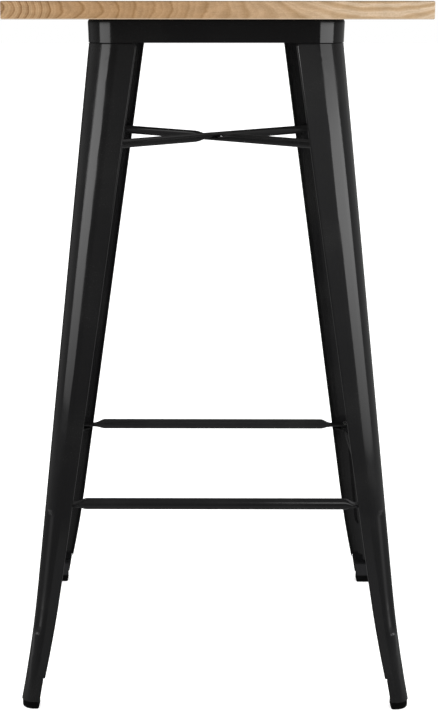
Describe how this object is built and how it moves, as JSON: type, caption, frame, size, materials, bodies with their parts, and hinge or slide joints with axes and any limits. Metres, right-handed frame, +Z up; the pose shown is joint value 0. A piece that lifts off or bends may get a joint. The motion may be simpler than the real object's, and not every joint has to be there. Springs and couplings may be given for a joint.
{
  "type": "pub table",
  "caption": "Square bar-height table with a solid wood top on a splayed black pressed-steel base with folded channel legs, a cross brace and tubular foot rails.",
  "frame": {"origin": "on the floor under the middle of the top", "axes": "+Z up, +X to the right and +Y away from the picture's camera, both square to the edges of the top"},
  "size_m": [0.6, 0.6, 1.05],
  "materials": {
    "wood_top": "sealed satin, straight grain along X",
    "black_steel": "gloss black powder coat",
    "rail_steel": "gloss black powder coat",
    "foot_rubber": "matt black",
    "zinc_fasteners": "bright zinc plate"
  },
  "bodies": {
    "root": {"table_top": "wood_top", "apron_frame": "black_steel", "leg_back_right": "black_steel", "leg_back_left": "black_steel", "leg_front_right": "black_steel", "leg_front_left": "black_steel", "foot_back_right": "foot_rubber", "foot_back_left": "foot_rubber", "foot_front_right": "foot_rubber", "foot_front_left": "foot_rubber", "rail_back": "rail_steel", "rail_left": "rail_steel", "rail_front": "rail_steel", "rail_right": "rail_steel", "brace_upper": "rail_steel", "brace_lower": "rail_steel", "rail_bracket_back_right": "black_steel", "rail_bracket_back_left": "black_steel", "rail_bracket_front_right": "black_steel", "rail_bracket_front_left": "black_steel", "brace_bracket_back_right": "black_steel", "brace_bracket_back_left": "black_steel", "brace_bracket_front_right": "black_steel", "brace_bracket_front_left": "black_steel", "rail_bolts": "zinc_fasteners", "rail_nuts": "zinc_fasteners", "brace_bolts": "zinc_fasteners", "brace_nuts": "zinc_fasteners", "leg_studs": "zinc_fasteners", "leg_nuts": "zinc_fasteners", "top_screws": "zinc_fasteners"}
  },
  "joints": []
}
